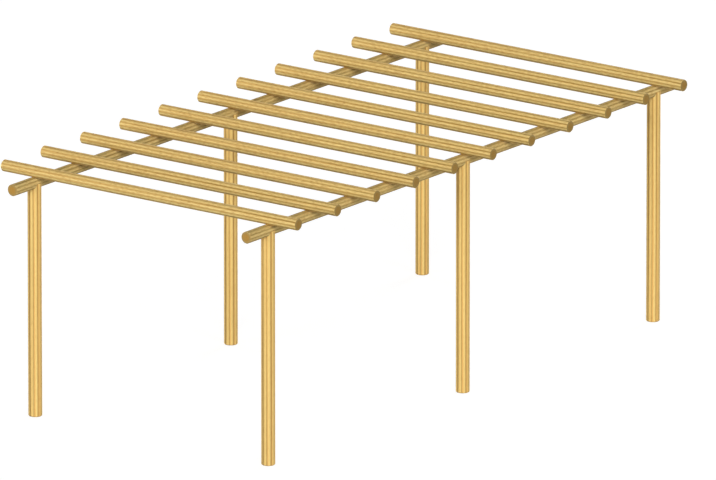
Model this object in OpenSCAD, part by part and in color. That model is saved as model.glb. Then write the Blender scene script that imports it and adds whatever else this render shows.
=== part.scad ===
// A free-standing garden pergola of round, machine-turned poles.
// Two rows of posts carry two long beams in half-round saddles, and a row of
// rafters lies across the beams. Each rafter is lightly hollowed where it sits.
// Millimetres. +X runs along the beams, +Y along the rafters, +Z up.
// The origin is at ground level in the middle of the frame.

/* [Layout] */
// Distance between the post axes along a row
bay_length = 2700; // [1200:10:3600]
// Number of bays along a row
bays = 2; // [1:1:3]
// Distance between the axes of the two rows
row_spacing = 2425; // [1000:10:4000]
// Height of a post, from the ground to the tips of its head
post_height = 2010; // [1500:10:3000]
// How far a beam runs on past the axis of its end post
beam_overhang = 300; // [100:5:900]
// How far a rafter runs on past the axis of a beam
rafter_overhang = 315; // [100:5:900]
// Rafter spacings in one bay, with a rafter over every post
rafters_per_bay = 5; // [2:1:6]

/* [Poles] */
// Diameter of a post
post_diameter = 116; // [80:1:180]
// Diameter of a beam
beam_diameter = 100; // [70:1:150]
// Diameter of a rafter
rafter_diameter = 100; // [60:1:150]

/* [Joints] */
// Depth of the hollow under a rafter where it sits on a beam
seat_depth = 2; // [0.5:0.5:12]
// Clearance between a beam and the hollows cut to fit it
seat_gap = 0.3; // [0.1:0.1:1]

/* [Edges] */
// Width of the chamfer round the foot of a post
foot_chamfer = 6; // [1:0.5:15]
// Width of the chamfer round the head of a post
head_chamfer = 2; // [0.5:0.5:6]
// Width of the chamfer round each end of a beam or rafter
end_chamfer = 4; // [1:0.5:15]

/* [Hidden] */
$fn = 96;
// A cutter runs on this far past what it cuts
past = 1;

beam_length = bays * bay_length + 2 * beam_overhang;
rafter_length = row_spacing + 2 * rafter_overhang;
rafter_pitch = bay_length / rafters_per_bay;
rafter_count = bays * rafters_per_bay + 1;

// A post ends level with the axis of its beam, so that its head reaches half-way up the beam
beam_axis_height = post_height;
rafter_axis_height = beam_axis_height + (beam_diameter + rafter_diameter) / 2 - seat_depth;

// Where the posts, beams and rafters stand
post_places = [for (i = [0 : bays]) (i - bays / 2) * bay_length];
rafter_places = [for (i = [0 : rafter_count - 1]) (i - (rafter_count - 1) / 2) * rafter_pitch];
rows = [["front", -row_spacing / 2], ["back", row_spacing / 2]];

function two_digits(n) = n < 10 ? str("0", n) : str(n);
function post_name(row, i) = str("post_", row[0], "_", i + 1);
function beam_name(row) = str("beam_", row[0]);
function rafter_name(i) = str("rafter_", two_digits(i + 1));

// A round pole standing on the origin, with a chamfer round each end
module pole(length, diameter, lower_chamfer, upper_chamfer) {
    radius = diameter / 2;
    cylinder(h = lower_chamfer, r1 = radius - lower_chamfer, r2 = radius);
    translate([0, 0, lower_chamfer])
        cylinder(h = length - lower_chamfer - upper_chamfer, r = radius);
    translate([0, 0, length - upper_chamfer])
        cylinder(h = upper_chamfer, r1 = radius, r2 = radius - upper_chamfer);
}

// The round cutter that hollows a post head or the underside of a rafter to fit a beam
module beam_cutter(width) {
    rotate([0, 90, 0])
        cylinder(h = width + 2 * past, d = beam_diameter + 2 * seat_gap, center = true);
}

// A post, with its head coped to a half-round saddle that leaves a horn on each side of the beam
module post(row, i) {
    color([0.91, 0.75, 0.47])
        translate([post_places[i], row[1], 0])
            difference() {
                pole(post_height, post_diameter, foot_chamfer, head_chamfer);
                translate([0, 0, beam_axis_height])
                    beam_cutter(post_diameter);
            }
}

// A beam, lying in the saddles of one row of posts
module beam(row) {
    color([0.73, 0.62, 0.39])
        translate([-beam_length / 2, row[1], beam_axis_height])
            rotate([0, 90, 0])
                pole(beam_length, beam_diameter, end_chamfer, end_chamfer);
}

// A rafter, lying across both beams and hollowed underneath where it sits on each of them
module rafter(i) {
    color([0.86, 0.71, 0.43])
        translate([rafter_places[i], 0, 0])
            difference() {
                translate([0, rafter_length / 2, rafter_axis_height])
                    rotate([90, 0, 0])
                        pole(rafter_length, rafter_diameter, end_chamfer, end_chamfer);
                for (row = rows)
                    translate([0, row[1], beam_axis_height])
                        beam_cutter(rafter_diameter);
            }
}

for (row = rows) {
    for (i = [0 : bays])
        post(row, i);
    beam(row);
}
for (i = [0 : rafter_count - 1])
    rafter(i);
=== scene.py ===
"""A free-standing garden pergola of round, machine-turned pine poles.

Two rows of posts carry two long beams in half-round saddles, and a row of rafters lies across the beams.
Every pole is one closed surface worked out on a grid. Its rows run from the middle of one end, over that
end's edge, along the pole and on to the middle of the other end, and its columns run round it. Sizes come
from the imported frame, in metres.
"""

import math

import bpy
import numpy as np
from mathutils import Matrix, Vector


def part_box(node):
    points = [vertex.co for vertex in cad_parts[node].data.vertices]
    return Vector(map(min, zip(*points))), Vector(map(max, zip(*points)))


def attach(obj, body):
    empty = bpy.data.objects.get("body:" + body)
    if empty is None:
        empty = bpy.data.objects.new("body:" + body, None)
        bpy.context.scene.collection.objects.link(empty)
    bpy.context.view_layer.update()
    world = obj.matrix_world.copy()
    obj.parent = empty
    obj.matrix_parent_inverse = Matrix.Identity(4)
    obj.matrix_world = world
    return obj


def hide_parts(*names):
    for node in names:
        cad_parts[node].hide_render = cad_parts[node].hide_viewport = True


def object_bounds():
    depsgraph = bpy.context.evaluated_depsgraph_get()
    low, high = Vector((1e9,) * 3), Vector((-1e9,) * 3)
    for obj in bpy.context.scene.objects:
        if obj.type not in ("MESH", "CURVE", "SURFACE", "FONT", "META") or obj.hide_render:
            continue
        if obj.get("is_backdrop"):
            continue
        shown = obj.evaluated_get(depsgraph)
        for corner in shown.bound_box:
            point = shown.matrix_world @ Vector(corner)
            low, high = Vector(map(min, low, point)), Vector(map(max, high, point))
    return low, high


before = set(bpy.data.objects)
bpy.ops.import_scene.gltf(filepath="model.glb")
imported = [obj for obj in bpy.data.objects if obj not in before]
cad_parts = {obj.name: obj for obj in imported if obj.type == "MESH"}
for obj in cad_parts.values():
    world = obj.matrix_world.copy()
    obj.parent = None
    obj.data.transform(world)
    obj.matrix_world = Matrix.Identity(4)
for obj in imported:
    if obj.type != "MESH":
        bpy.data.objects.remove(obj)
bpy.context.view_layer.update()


# ----------------------------------------------------------------------------------------------------------
# Posts. Six posts of oiled, machine-turned pine stand in two rows, sawn square and chamfered at the foot.
# Each head is coped on a drum cutter to a half-round saddle, which cradles the beam and leaves a thin horn
# up each side of it.

pith_offset = (0.0005, 0.0015)    # least and most distance from a pole's axis to the pith of its stem
pith_wander = 0.0005              # how far the pith strays to either side of its mean line
wander_lengths = (1.7, 2.3)       # how long one such stray is, in the two directions across the pole
face_play = math.radians(1.5)     # how far a pole lies turned from the face that its kind shows
stem_starts = (7.4, 9.4)          # a pole's first end lies between these places along its timber


def growth(across_u, across_v, along, seed, face):
    """Where each point lies in the stem that its pole was turned from, with the pith as the third axis.

    The pith runs at a drawn offset from the pole's axis, in a drawn direction, and strays from there by
    pith_wander * sin(2 pi * along / wander length + a drawn phase) in each direction across the pole. The
    result is the point less the pith, turned back by face and a drawn play, and along plus a drawn start.
    """
    draw = np.random.default_rng(seed)
    aside, phase_u, phase_v = draw.uniform(0, 2 * math.pi, 3)
    offset = draw.uniform(*pith_offset)
    wave_u = np.sin(2 * math.pi * along / wander_lengths[0] + phase_u)
    wave_v = np.sin(2 * math.pi * along / wander_lengths[1] + phase_v)
    from_u = across_u - offset * math.cos(aside) - pith_wander * wave_u
    from_v = across_v - offset * math.sin(aside) - pith_wander * wave_v
    turn = face + draw.uniform(-face_play, face_play)
    return np.stack([from_u * math.cos(turn) + from_v * math.sin(turn),
                     from_v * math.cos(turn) - from_u * math.sin(turn),
                     along + draw.uniform(*stem_starts)], axis=-1)


shrinkage = 0.0002                # how far the soft wood between two hard stripes has sunk below them


def weathered(radius, grain, stripes):
    """The turned radius less what the soft wood has sunk, at each turn about the pith.

    radius - shrinkage * (1 - cos(stripes * turn)) / 2
    """
    turn = np.arctan2(grain[..., 1], grain[..., 0])
    return radius - shrinkage * (1 - np.cos(stripes * turn)) / 2


crease = math.radians(35)         # edges that bend more than this stay crisp


def closed_piece(name, places, end_places, grain, end_grain, walls):
    """A closed mesh from a grid: quads between neighbours, and a fan to a point at either end.

    The quad of corner (i, j) is (i, j), (i + 1, j), (i + 1, j + 1), (i, j + 1), with j taken round. Each
    point carries its place in the timber, as grain, and 0 on the walls' rows or 1 off them, as cut.
    """
    rows, columns = places.shape[:2]
    point = np.arange(rows * columns).reshape(rows, columns)
    beside = np.roll(point, -1, axis=1)
    quads = np.stack([point[:-1], point[1:], beside[1:], beside[:-1]], axis=-1).reshape(-1, 4)
    first, last = rows * columns, rows * columns + 1
    start_fan = np.stack([np.full(columns, first), point[0], beside[0]], axis=-1)
    end_fan = np.stack([np.full(columns, last), beside[-1], point[-1]], axis=-1)
    corners = np.concatenate([quads.ravel(), start_fan.ravel(), end_fan.ravel()])
    totals = np.concatenate([np.full(len(quads), 4), np.full(2 * columns, 3)])
    cut = np.ones(rows * columns + 2)
    cut[:-2].reshape(rows, columns)[walls] = 0

    mesh = bpy.data.meshes.new(name)
    corner_places = np.concatenate([places.reshape(-1, 3), end_places])
    mesh.vertices.add(len(corner_places))
    mesh.vertices.foreach_set("co", corner_places.astype(np.float32).ravel())
    mesh.loops.add(len(corners))
    mesh.loops.foreach_set("vertex_index", corners.astype(np.int32))
    mesh.polygons.add(len(totals))
    mesh.polygons.foreach_set("loop_start", (np.cumsum(totals) - totals).astype(np.int32))
    mesh.update(calc_edges=True)
    all_grain = np.concatenate([grain.reshape(-1, 3), end_grain]).astype(np.float32)
    mesh.attributes.new("grain", "FLOAT_VECTOR", "POINT").data.foreach_set("vector", all_grain.ravel())
    mesh.attributes.new("cut", "FLOAT", "POINT").data.foreach_set("value", cut.astype(np.float32))
    mesh.shade_smooth()
    mesh.set_sharp_from_angle(angle=crease)
    mesh.validate()
    piece = bpy.data.objects.new(name, mesh)
    bpy.context.collection.objects.link(piece)
    return piece


def srgb(red, green, blue):
    """A paint chart's colour, from 0 to 255, as linear light.

    c = chart / 255, and linear = c / 12.92 up to c = 0.04045, then ((c + 0.055) / 1.055) ^ 2.4
    """
    chart = np.array([red, green, blue]) / 255
    linear = np.where(chart <= 0.04045, chart / 12.92, ((chart + 0.055) / 1.055) ** 2.4)
    return (*linear, 1.0)


ring_pitch = 0.0068               # from one year's dark late wood to the next, on a sawn end
heart_edge = (0.026, 0.036)       # the heartwood fades into the sapwood between these radii


def pine(name, stripes, uneven, flecked, dark, bright, rosy, heart, sap):
    """Oiled, turned pine. Hard and soft wood lie in stripes along the pole, at even turns about its pith.

    uneven is how much paler some of the dark stripes are, and flecked how strong the short flecks are.
    """
    material = bpy.data.materials.new(name)
    material.use_nodes = True
    tree = material.node_tree
    tree.nodes.clear()

    def add(kind, sockets, **settings):
        """A node with its settings, and with each socket linked to another node's or set to a value."""
        made = tree.nodes.new(kind)
        for setting, value in settings.items():
            setattr(made, setting, value)
        for socket, value in sockets.items():
            if isinstance(value, bpy.types.NodeSocket):
                tree.links.new(value, made.inputs[socket])
            else:
                made.inputs[socket].default_value = value
        return made

    def maths(operation, first, second=0.0, third=0.0):
        return add("ShaderNodeMath", {0: first, 1: second, 2: third}, operation=operation).outputs[0]

    def streaks(across, along, detail=1.0, roughness=0.5):
        """Noise that changes so many times in a metre across the fibres, and so many along them."""
        finer = add("ShaderNodeVectorMath", {0: grain, 1: (across, across, along)}, operation="MULTIPLY")
        sockets = {"Vector": finer.outputs["Vector"], "Scale": 1.0, "Detail": detail, "Roughness": roughness}
        return add("ShaderNodeTexNoise", sockets).outputs[0]

    def above(value, low, high):
        """0 up to low, 1 from high, and (value - low) / (high - low) between them."""
        return add("ShaderNodeMapRange", {"Value": value, "From Min": low, "From Max": high}).outputs[0]

    def mix(share, first, second, how="MIX"):
        """The first colour, mixed with share of the second. A Mix node's colours are sockets 6, 7 and 2."""
        sockets = {0: share, 6: first, 7: second}
        return add("ShaderNodeMix", sockets, data_type="RGBA", blend_type=how).outputs[2]

    def glaze(under, share, amount, tint):
        """The colour under a thin coat, which takes it towards under * tint by share * amount."""
        return mix(maths("MULTIPLY", share, amount), under, tint, how="MULTIPLY")

    grain = add("ShaderNodeAttribute", {}, attribute_name="grain").outputs["Vector"]
    cut = add("ShaderNodeAttribute", {}, attribute_name="cut").outputs["Fac"]

    # stripes: (1 + cos(p + sharpness * sin p)) / 2, where p = stripes * turn about the pith + a slow sway
    most_sway, sharpness = 0.25, 0.45
    parts = add("ShaderNodeSeparateXYZ", {"Vector": grain}).outputs
    turn = maths("ARCTAN2", parts["Y"], parts["X"])
    sway = maths("MULTIPLY_ADD", streaks(across=25.0, along=0.06), 2 * most_sway, -most_sway)
    phase = maths("MULTIPLY_ADD", turn, float(stripes), sway)
    phase = maths("MULTIPLY_ADD", maths("SINE", phase), sharpness, phase)
    stripe = maths("MULTIPLY_ADD", maths("COSINE", phase), 0.5, 0.5)

    # the dark wood is stronger in some patches, and loses uneven * (1 + cos(swells * turn)) / 2 of itself
    weakest, patchiness, swells = 0.68, 0.6, 4.0
    strength = maths("MULTIPLY_ADD", streaks(across=34.0, along=0.3), patchiness, weakest)
    stripe = maths("MULTIPLY", stripe, strength)
    swell = maths("COSINE", maths("MULTIPLY", turn, swells))
    stripe = maths("MULTIPLY", stripe, maths("MULTIPLY_ADD", swell, -uneven / 2, 1 - uneven / 2))
    colour = mix(stripe, bright, dark)

    # what breaks the stripes up: broad rosy streaks, thin brown lines, short flecks, and the fibres
    rosy_streaks = above(streaks(across=85.0, along=0.2), low=0.50, high=0.62)
    colour = mix(maths("MULTIPLY", rosy_streaks, 0.6), colour, rosy)
    brown_lines = above(streaks(across=150.0, along=0.15), low=0.45, high=0.58)
    colour = glaze(colour, brown_lines, amount=0.2, tint=srgb(206, 168, 116))
    flecks = above(streaks(across=220.0, along=26.0, detail=0.0), low=0.50, high=0.66)
    colour = glaze(colour, flecks, amount=flecked, tint=srgb(186, 142, 88))
    fibres = above(streaks(across=480.0, along=1.5, detail=2.0, roughness=0.7), low=0.44, high=0.60)
    colour = glaze(colour, fibres, amount=0.22, tint=srgb(196, 152, 96))
    fine = streaks(across=900.0, along=7.0, detail=3.0, roughness=0.6)
    wall = glaze(colour, fine, amount=0.1, tint=srgb(186, 144, 88))

    # sawn ends drink more oil. They show the red-brown heartwood, the paler sapwood round it, the year rings
    # as (1 + sin(2 pi * radius / ring_pitch)) / 2 of the wavering radius about the pith, and a rough stain
    most_waver = 0.002
    flat = add("ShaderNodeVectorMath", {0: grain, 1: (1.0, 1.0, 0.0)}, operation="MULTIPLY")
    from_pith = add("ShaderNodeVectorMath", {0: flat.outputs["Vector"]}, operation="LENGTH")
    waver = maths("MULTIPLY_ADD", streaks(across=25.0, along=0.35, detail=2.0), 2 * most_waver, -most_waver)
    radius = maths("ADD", from_pith.outputs["Value"], waver)
    rings_out = maths("MULTIPLY", radius, 2 * math.pi / ring_pitch)
    ring = maths("MULTIPLY_ADD", maths("SINE", rings_out), 0.5, 0.5)
    stain = streaks(across=120.0, along=0.0, detail=3.0, roughness=0.6)
    end = mix(above(radius, *heart_edge), heart, sap)
    end = glaze(end, ring, amount=0.35, tint=srgb(168, 112, 58))
    end = glaze(end, stain, amount=0.4, tint=srgb(190, 150, 110))

    # satin on the walls, dull on the ends, with the stripes and fibres standing a little proud
    satin, roughened, dull, gloss = 0.52, 0.2, 0.72, 0.1
    stripe_share, fibre_share, relief_depth, relief_strength = 0.35, 0.65, 0.0006, 0.5
    rough = maths("MAXIMUM", maths("MULTIPLY_ADD", fine, roughened, satin), maths("MULTIPLY", cut, dull))
    height = maths("ADD", maths("MULTIPLY", stripe, stripe_share), maths("MULTIPLY", fine, fibre_share))
    relief = add("ShaderNodeBump", {"Strength": relief_strength, "Distance": relief_depth, "Height": height})
    shader = add("ShaderNodeBsdfPrincipled", {
        "Base Color": mix(cut, wall, end), "Roughness": rough, "Specular IOR Level": gloss,
        "Normal": relief.outputs["Normal"]})
    add("ShaderNodeOutputMaterial", {"Surface": shader.outputs[0]})
    return material


post_stripes, post_face = 10, math.radians(-153.2)
post_seed = 10                    # the first post's draws start from this, the next post's from one more
post_pine = pine(
    "post pine", post_stripes, uneven=0.4, flecked=0.12,
    dark=srgb(162, 116, 55), bright=srgb(255, 226, 143), rosy=srgb(252, 201, 116),
    heart=srgb(208, 164, 90), sap=srgb(204, 172, 108))

post_nodes = [name for name in sorted(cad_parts) if name.startswith("post_")]
beam_nodes = ("beam_front", "beam_back")
post_low, post_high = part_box(post_nodes[0])
post_radius = (post_high.x - post_low.x) / 2
beam_low, beam_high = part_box(beam_nodes[0])
beam_radius = (beam_high.z - beam_low.z) / 2
beam_axis = (beam_high.z + beam_low.z) / 2
cutter_play = 0.0003              # the drum cutter leaves this much room round the beam
saddle_radius = beam_radius + cutter_play
saddle_foot = beam_axis - saddle_radius
foot_chamfer = 0.006
lip, rim = 0.0012, 0.0008         # the eased edge of the head, and the least flat that is left inside it
level_drop = 0.05                 # the rows round the wall are level from this far below the saddle down
plain_below = saddle_foot - level_drop
rows_in_saddle, rows_easing, rows_level = 16, 13, 65
face_rows = np.array([0.25, 0.5, 0.75, 1.0])     # rows on a sawn face, as shares of its radius

# the columns stand nearly evenly round the post, with one on each corner between the saddle and a horn
cheek_columns, horn_columns = 48, 24
horn_start = math.asin(saddle_radius / post_radius)
arcs = [(-horn_start, horn_start, cheek_columns),
        (horn_start, math.pi - horn_start, horn_columns),
        (math.pi - horn_start, math.pi + horn_start, cheek_columns),
        (math.pi + horn_start, 2 * math.pi - horn_start, horn_columns)]
post_turn = np.concatenate([np.linspace(start, stop, count, endpoint=False) for start, stop, count in arcs])


def post_rows(turn):
    """A post's rows as (distance from its axis, height), each a function of the turn t round the post.

    head:    d = inner * sin(p), p up to 90 degrees, and then outer, with outer = post_radius - lip, and
             inner the edge of the saddle, saddle_radius / |sin t|, but no more than outer - rim
             z = beam_axis - sqrt(saddle_radius^2 - (d sin t)^2), or beam_axis past the saddle's edge
    wall:    d = post_radius, from a lip under that z, easing to level rows, down to the foot's chamfer
    foot:    z = 0, with d falling from the chamfer's inner edge to a quarter of it
    """
    nearly_none = 1e-9            # stands in for |sin t| where the saddle runs straight out
    side = np.abs(np.sin(turn))
    outer = np.full_like(turn, post_radius - lip)
    inner = np.minimum(saddle_radius / np.maximum(side, nearly_none), outer - rim)

    def top(distance):
        return beam_axis - np.sqrt(np.maximum(saddle_radius ** 2 - (distance * side) ** 2, 0))

    swing = np.linspace(0, math.pi / 2, rows_in_saddle + 1)[1:, None]
    head = np.concatenate([inner * np.sin(swing), [outer]])
    edge = top(np.full_like(turn, post_radius)) - lip
    easing = plain_below + (edge - plain_below) * np.linspace(1, 0, rows_easing)[:, None]
    level = np.linspace(plain_below, foot_chamfer, rows_level + 1)[1:, None] + 0 * turn
    wall = np.concatenate([easing, level])
    foot = (post_radius - foot_chamfer) * face_rows[::-1, None] + 0 * turn
    distance = np.concatenate([head, np.full_like(wall, post_radius), foot])
    height = np.concatenate([top(head), wall, np.zeros_like(foot)])
    return distance, height, slice(len(head), len(head) + len(wall))


for number, node in enumerate(post_nodes):
    low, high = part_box(node)
    centre_x, centre_y = (low.x + high.x) / 2, (low.y + high.y) / 2
    distance, height, walls = post_rows(post_turn)
    stem = {"seed": post_seed + number, "face": post_face}
    grain = growth(distance * np.cos(post_turn), distance * np.sin(post_turn), height, **stem)
    distance[walls] = weathered(distance[walls], grain[walls], post_stripes)
    across_x, across_y = distance * np.cos(post_turn), distance * np.sin(post_turn)
    places = np.stack([centre_x + across_x, centre_y + across_y, height], axis=-1)
    post = closed_piece(
        node.replace("post", "turned_post"), places,
        [(centre_x, centre_y, saddle_foot), (centre_x, centre_y, 0)],
        grain, growth(0, 0, np.array([saddle_foot, 0]), **stem), walls)
    post.data.materials.append(post_pine)
    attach(post, "root")
    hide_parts(node)


# ----------------------------------------------------------------------------------------------------------
# Beams. Two poles of the same turned pine, as long as the frame, lie in the posts' saddles, one on each row,
# and run on past the end posts. Their ends are sawn square, and the edge is taken off. Their walls are
# painted darker than the posts' and rafters': painted shade.

end_chamfer = 0.004


def straight_pole(radius, length, stations, columns):
    """Rows (distance from the axis, place along it) of a straight pole with chamfered ends.

    near face:  distance = share * (radius - chamfer), place = 0
    wall:       distance = radius, place = each station
    far face:   the near face's rows in reverse, place = length
    """
    face = (radius - end_chamfer) * face_rows
    distance = np.concatenate([face, np.full(len(stations), radius), face[::-1]])
    place = np.concatenate([np.zeros(len(face)), stations, np.full(len(face), length)])
    walls = slice(len(face), len(face) + len(stations))
    return np.repeat(distance[:, None], columns, axis=1), np.repeat(place[:, None], columns, axis=1), walls


beam_stripes, beam_face = 10, math.radians(149.3)
beam_seed = 30
# painted shade: the beam pine's wall colours are darker than the same pine's on the posts and rafters
beam_pine_painted_shade = pine(
    "beam pine with painted shade", beam_stripes, uneven=0.0, flecked=0.36,
    dark=srgb(163, 139, 80), bright=srgb(231, 209, 140), rosy=srgb(216, 187, 118),
    heart=srgb(204, 163, 82), sap=srgb(194, 167, 101))
rows_along_beam, pole_columns = 241, 128
pole_turn = np.linspace(0, 2 * math.pi, pole_columns, endpoint=False)

for number, node in enumerate(beam_nodes):
    low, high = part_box(node)
    length = high.x - low.x
    centre_y = (low.y + high.y) / 2
    stations = np.linspace(end_chamfer, length - end_chamfer, rows_along_beam)
    distance, place, walls = straight_pole(beam_radius, length, stations, pole_columns)
    stem = {"seed": beam_seed + number, "face": beam_face}
    grain = growth(distance * np.cos(pole_turn), distance * np.sin(pole_turn), place, **stem)
    distance[walls] = weathered(distance[walls], grain[walls], beam_stripes)
    across_y, across_z = distance * np.cos(pole_turn), distance * np.sin(pole_turn)
    places = np.stack([low.x + place, centre_y + across_y, beam_axis + across_z], axis=-1)
    # columns that turn from y to z face outwards only when the rows run from the far end to the near one
    beam = closed_piece(
        node.replace("beam", "turned_beam"), places[::-1],
        [(high.x, centre_y, beam_axis), (low.x, centre_y, beam_axis)],
        grain[::-1], growth(0, 0, np.array([length, 0]), **stem), walls)
    beam.data.materials.append(beam_pine_painted_shade)
    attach(beam, "root")
    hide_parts(node)


# ----------------------------------------------------------------------------------------------------------
# Rafters. Eleven turned pine poles lie across the beams at an even pitch and stand out past both. Each is
# sawn square at its ends and hollowed a little underneath where it sits on a beam, so that it can't roll.

rafter_stripes, rafter_face = 10, math.radians(147.6)
rafter_seed = 50
# painted shade on the rafter ends: their heart and sap are darker than the other poles' ends, on top of the
# darker colour that oiled end grain has
rafter_pine_shaded_ends = pine(
    "rafter pine with painted shade on its ends", rafter_stripes, uneven=0.0, flecked=0.36,
    dark=srgb(175, 140, 69), bright=srgb(251, 228, 152), rosy=srgb(242, 201, 122),
    heart=srgb(174, 142, 75), sap=srgb(170, 148, 90))

rafter_nodes = [name for name in sorted(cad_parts) if name.startswith("rafter_")]
row_places = [(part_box(node)[0].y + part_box(node)[1].y) / 2 for node in beam_nodes]
rows_along_rafter = 123
seat_reach, rows_in_seat = 0.018, 19             # closer rows reach this far to either side of a beam's axis
seat_rows = np.linspace(-seat_reach, seat_reach, rows_in_seat)

for number, node in enumerate(rafter_nodes):
    low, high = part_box(node)
    length = high.y - low.y
    radius = (high.x - low.x) / 2
    centre_x, centre_z = (low.x + high.x) / 2, high.z - radius
    stations = np.linspace(end_chamfer, length - end_chamfer, rows_along_rafter)
    stations = np.sort(np.concatenate([stations, *(row - low.y + seat_rows for row in row_places)]))
    distance, place, walls = straight_pole(radius, length, stations, pole_columns)
    stem = {"seed": rafter_seed + number, "face": rafter_face}
    grain = growth(distance * np.cos(pole_turn), distance * np.sin(pole_turn), place, **stem)
    distance[walls] = weathered(distance[walls], grain[walls], rafter_stripes)
    across_x, across_z = distance * np.cos(pole_turn), distance * np.sin(pole_turn)
    places = np.stack([centre_x + across_x, low.y + place, centre_z + across_z], axis=-1)
    # the hollow follows the cutter: nothing is left below axis + sqrt(saddle_radius^2 - (y - row)^2)
    for row in row_places:
        above_axis = np.sqrt(np.maximum(saddle_radius ** 2 - (places[..., 1] - row) ** 2, 0))
        hollow = np.maximum(places[..., 2], beam_axis + above_axis)
        places[..., 2] = np.where(above_axis > 0, hollow, places[..., 2])
    rafter = closed_piece(
        node.replace("rafter", "turned_rafter"), places,
        [(centre_x, low.y, centre_z), (centre_x, high.y, centre_z)],
        grain, growth(0, 0, np.array([0, length]), **stem), walls)
    rafter.data.materials.append(rafter_pine_shaded_ends)
    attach(rafter, "root")
    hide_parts(node)


# ----------------------------------------------------------------------------------------------------------
# Studio. The frame stands on a wide pale floor in a white surround. Soft lamps stand low all round it, so
# that their light gets in under the rafters, and one shines down from over the camera. The camera stands
# far off with a long lens, so that parallel poles stay parallel.

def white_when_seen(nodes, links):
    """1 for a ray from the camera, off a gloss or through glass, and 0 for light that falls on something."""
    path = nodes.new("ShaderNodeLightPath")
    seen = path.outputs["Is Camera Ray"]
    for kind in ("Is Glossy Ray", "Is Transmission Ray"):
        either = nodes.new("ShaderNodeMath")
        either.operation = "MAXIMUM"
        links.new(seen, either.inputs[0])
        links.new(path.outputs[kind], either.inputs[1])
        seen = either.outputs[0]
    return seen


reach = 60                        # the floor runs on this far from the middle, each way
floor_mesh = bpy.data.meshes.new("floor")
floor_corners = [(-reach, -reach, 0), (reach, -reach, 0), (reach, reach, 0), (-reach, reach, 0)]
floor_mesh.from_pydata(floor_corners, [], [(0, 1, 2, 3)])
floor = bpy.data.objects.new("floor", floor_mesh)
bpy.context.collection.objects.link(floor)
floor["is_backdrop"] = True

# the floor's paint is grey, so that it throws little light up, and is topped up to white where it is seen
floor_grey, floor_top_up = 0.3, 0.84
floor_paint = bpy.data.materials.new("floor paint")
floor_paint.use_nodes = True
nodes, links = floor_paint.node_tree.nodes, floor_paint.node_tree.links
nodes.clear()
matt = nodes.new("ShaderNodeBsdfDiffuse")
matt.inputs["Color"].default_value = (floor_grey, floor_grey, floor_grey, 1)
level = nodes.new("ShaderNodeMath")
level.operation = "MULTIPLY"
level.inputs[1].default_value = floor_top_up
links.new(white_when_seen(nodes, links), level.inputs[0])
glow = nodes.new("ShaderNodeEmission")
links.new(level.outputs[0], glow.inputs["Strength"])
both = nodes.new("ShaderNodeAddShader")
links.new(matt.outputs[0], both.inputs[0])
links.new(glow.outputs[0], both.inputs[1])
links.new(both.outputs[0], nodes.new("ShaderNodeOutputMaterial").inputs["Surface"])
floor_mesh.materials.append(floor_paint)

# the surround is white where it is seen, and otherwise gives the poles a little even light
even_light = 0.07
world = bpy.data.worlds.new("surround")
world.use_nodes = True
bpy.context.scene.world = world
nodes, links = world.node_tree.nodes, world.node_tree.links
nodes.clear()
strength = nodes.new("ShaderNodeMapRange")
strength.inputs["To Min"].default_value = even_light
links.new(white_when_seen(nodes, links), strength.inputs["Value"])
sky = nodes.new("ShaderNodeBackground")
sky.inputs["Color"].default_value = (1, 1, 1, 1)
links.new(strength.outputs[0], sky.inputs["Strength"])
links.new(sky.outputs[0], nodes.new("ShaderNodeOutputWorld").inputs["Surface"])

# each lamp's name, strength, spread in degrees, and the direction in which it stands from the frame
lamps = [
    ("left", 1.40, 25, Vector((-0.94, 0.31, 0.14))),
    ("right", 1.62, 25, Vector((-0.31, -0.93, 0.17))),
    ("top", 1.19, 25, Vector((-0.66, -0.50, 0.56))),
    ("side", 2.5, 30, Vector((0.98, 0.05, 0.15))),
    ("back", 1.4, 30, Vector((0.25, 0.96, 0.15))),
]
for name, energy, spread, towards in lamps:
    light = bpy.data.lights.new(name, "SUN")
    light.energy = energy
    light.angle = math.radians(spread)
    lamp = bpy.data.objects.new(name, light)
    bpy.context.collection.objects.link(lamp)
    lamp.rotation_mode = "QUATERNION"
    lamp.rotation_quaternion = (-towards).to_track_quat("-Z", "Y")

azimuth, elevation = math.radians(-53.261), math.radians(15.720)
level_away = Vector((math.sin(azimuth), -math.cos(azimuth), 0)) * math.cos(elevation)
away = level_away + Vector((0, 0, math.sin(elevation)))
camera_data = bpy.data.cameras.new("camera")
camera_data.lens = 1120
camera_data.clip_start, camera_data.clip_end = 1, 1000
camera = bpy.data.objects.new("camera", camera_data)
bpy.context.collection.objects.link(camera)
camera_distance = 186.67
looks_at = Vector((0.290, 0.095, 1.0295))
camera.location = looks_at + away * camera_distance
camera.rotation_mode = "QUATERNION"
camera.rotation_quaternion = (-away).to_track_quat("-Z", "Y")
bpy.context.scene.camera = camera

bpy.context.scene.view_settings.view_transform = "Standard"

low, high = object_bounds()
